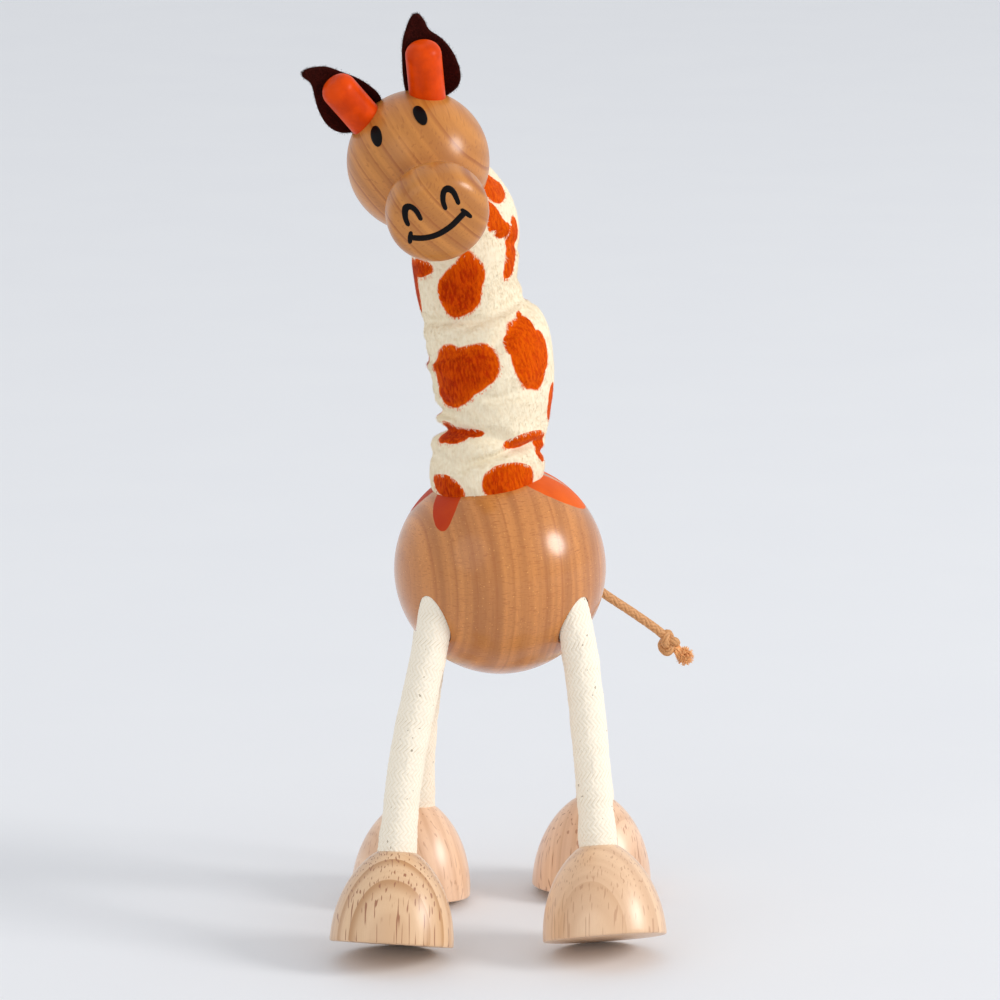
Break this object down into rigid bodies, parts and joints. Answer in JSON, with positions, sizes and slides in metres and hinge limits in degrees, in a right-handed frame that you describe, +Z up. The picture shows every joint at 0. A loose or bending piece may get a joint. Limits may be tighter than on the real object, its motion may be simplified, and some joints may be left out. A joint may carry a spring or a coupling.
{
  "type": "bendable toy giraffe",
  "caption": "Standing posable giraffe with a turned wooden body and head, domed hooves on braided rope legs, a spotted plush neck, felt ears, painted horn pegs and a knotted cord tail.",
  "frame": {"origin": "the middle of the footprint on the ground, measured without the tail cord", "axes": "+Z up, the giraffe faces -Y, its own left side is +X"},
  "size_m": [0.0837, 0.0811, 0.1947],
  "materials": {
    "stained_beech": "medium brown lacquered beech, orange painted spots",
    "honey_beech": "honey coloured lacquered beech, painted face",
    "pale_beech": "pale beech, satin",
    "orange_wood": "turned wood under orange satin paint",
    "brown_felt": "dark brown felt",
    "cream_plush": "cream short-pile plush with orange-brown spots",
    "cotton_rope": "cream braided cotton",
    "wadding": "white polyester wadding",
    "tan_cord": "tan waxed cotton cord",
    "steel_wire": "soft annealed steel wire"
  },
  "bodies": {
    "torso": {"body_ball": "stained_beech", "front_right_rope_root": "cotton_rope", "front_right_wire_root": "steel_wire", "front_left_rope_root": "cotton_rope", "front_left_wire_root": "steel_wire", "rear_right_rope_root": "cotton_rope", "rear_right_wire_root": "steel_wire", "rear_left_rope_root": "cotton_rope", "rear_left_wire_root": "steel_wire", "neck_rope_root": "cotton_rope", "neck_wire_root": "steel_wire", "neck_sleeve_base": "cream_plush", "tail_root": "tan_cord"},
    "neck_lower": {"neck_rope_lower": "cotton_rope", "neck_wire_lower": "steel_wire", "neck_sleeve_lower": "cream_plush", "neck_foam_lower": "wadding"},
    "neck_upper": {"neck_rope_upper": "cotton_rope", "neck_wire_upper": "steel_wire", "neck_sleeve_upper": "cream_plush", "neck_foam_upper": "wadding"},
    "head": {"head": "honey_beech", "left_horn_peg": "orange_wood", "right_horn_peg": "orange_wood", "left_ear": "brown_felt", "right_ear": "brown_felt", "neck_rope_tip": "cotton_rope", "neck_wire_tip": "steel_wire", "neck_sleeve_tip": "cream_plush"},
    "tail": {"tail_cord": "tan_cord", "tail_knot": "tan_cord", "tail_tuft": "tan_cord"},
    "front_right_upper_leg": {"front_right_rope_upper": "cotton_rope", "front_right_wire_upper": "steel_wire"},
    "front_right_lower_leg": {"front_right_rope_lower": "cotton_rope", "front_right_wire_lower": "steel_wire"},
    "front_right_foot": {"front_right_hoof": "pale_beech", "front_right_wire_foot": "steel_wire"},
    "front_left_upper_leg": {"front_left_rope_upper": "cotton_rope", "front_left_wire_upper": "steel_wire"},
    "front_left_lower_leg": {"front_left_rope_lower": "cotton_rope", "front_left_wire_lower": "steel_wire"},
    "front_left_foot": {"front_left_hoof": "pale_beech", "front_left_wire_foot": "steel_wire"},
    "rear_right_upper_leg": {"rear_right_rope_upper": "cotton_rope", "rear_right_wire_upper": "steel_wire"},
    "rear_right_lower_leg": {"rear_right_rope_lower": "cotton_rope", "rear_right_wire_lower": "steel_wire"},
    "rear_right_foot": {"rear_right_hoof": "pale_beech", "rear_right_wire_foot": "steel_wire"},
    "rear_left_upper_leg": {"rear_left_rope_upper": "cotton_rope", "rear_left_wire_upper": "steel_wire"},
    "rear_left_lower_leg": {"rear_left_rope_lower": "cotton_rope", "rear_left_wire_lower": "steel_wire"},
    "rear_left_foot": {"rear_left_hoof": "pale_beech", "rear_left_wire_foot": "steel_wire"}
  },
  "joints": [
    {"name": "neck_low_nod", "type": "hinge", "parent": "torso", "child": "neck_lower", "pos_m": [0.00145, 0.00733, 0.107], "axis": [1, 0, 0], "range_deg": [-16, 16]},
    {"name": "neck_middle_lean", "type": "hinge", "parent": "neck_lower", "child": "neck_upper", "pos_m": [-0.00205, 0.00963, 0.1345], "axis": [0, 1, 0], "range_deg": [-16, 16]},
    {"name": "head_nod", "type": "hinge", "parent": "neck_upper", "child": "head", "pos_m": [-0.00525, 0.01183, 0.1505], "axis": [1, 0, 0], "range_deg": [-14, 14]},
    {"name": "tail_swing", "type": "hinge", "parent": "torso", "child": "tail", "pos_m": [0.00635, 0.03073, 0.079], "axis": [0, 0, 1], "range_deg": [-20, 20]},
    {"name": "front_right_hip_swing", "type": "hinge", "parent": "torso", "child": "front_right_upper_leg", "pos_m": [-0.01205, -0.01057, 0.0613], "axis": [1, 0, 0], "range_deg": [-25, 15]},
    {"name": "front_right_leg_bow", "type": "hinge", "parent": "front_right_upper_leg", "child": "front_right_lower_leg", "pos_m": [-0.01635, -0.01597, 0.041], "axis": [0, 1, 0], "range_deg": [-15, 15]},
    {"name": "front_right_hoof_tilt", "type": "hinge", "parent": "front_right_lower_leg", "child": "front_right_foot", "pos_m": [-0.01824, -0.0198, 0.02407], "axis": [1, 0, 0], "range_deg": [-18, 18]},
    {"name": "front_left_hip_swing", "type": "hinge", "parent": "torso", "child": "front_left_upper_leg", "pos_m": [0.02015, -0.00817, 0.061], "axis": [1, 0, 0], "range_deg": [-25, 15]},
    {"name": "front_left_leg_bow", "type": "hinge", "parent": "front_left_upper_leg", "child": "front_left_lower_leg", "pos_m": [0.02235, -0.01287, 0.041], "axis": [0, 1, 0], "range_deg": [-15, 15]},
    {"name": "front_left_hoof_tilt", "type": "hinge", "parent": "front_left_lower_leg", "child": "front_left_foot", "pos_m": [0.02366, -0.0164, 0.02429], "axis": [1, 0, 0], "range_deg": [-18, 18]},
    {"name": "rear_right_hip_swing", "type": "hinge", "parent": "torso", "child": "rear_right_upper_leg", "pos_m": [-0.01205, 0.01893, 0.057], "axis": [1, 0, 0], "range_deg": [-12, 25]},
    {"name": "rear_right_leg_bow", "type": "hinge", "parent": "rear_right_upper_leg", "child": "rear_right_lower_leg", "pos_m": [-0.01415, 0.02023, 0.0395], "axis": [0, 1, 0], "range_deg": [-15, 15]},
    {"name": "rear_right_hoof_tilt", "type": "hinge", "parent": "rear_right_lower_leg", "child": "rear_right_foot", "pos_m": [-0.01499, 0.02172, 0.02266], "axis": [1, 0, 0], "range_deg": [-18, 18]},
    {"name": "rear_left_hip_swing", "type": "hinge", "parent": "torso", "child": "rear_left_upper_leg", "pos_m": [0.01905, 0.02243, 0.06], "axis": [1, 0, 0], "range_deg": [-12, 25]},
    {"name": "rear_left_leg_bow", "type": "hinge", "parent": "rear_left_upper_leg", "child": "rear_left_lower_leg", "pos_m": [0.02205, 0.02483, 0.042], "axis": [0, 1, 0], "range_deg": [-15, 15]},
    {"name": "rear_left_hoof_tilt", "type": "hinge", "parent": "rear_left_lower_leg", "child": "rear_left_foot", "pos_m": [0.02382, 0.02752, 0.02234], "axis": [1, 0, 0], "range_deg": [-18, 18]}
  ]
}
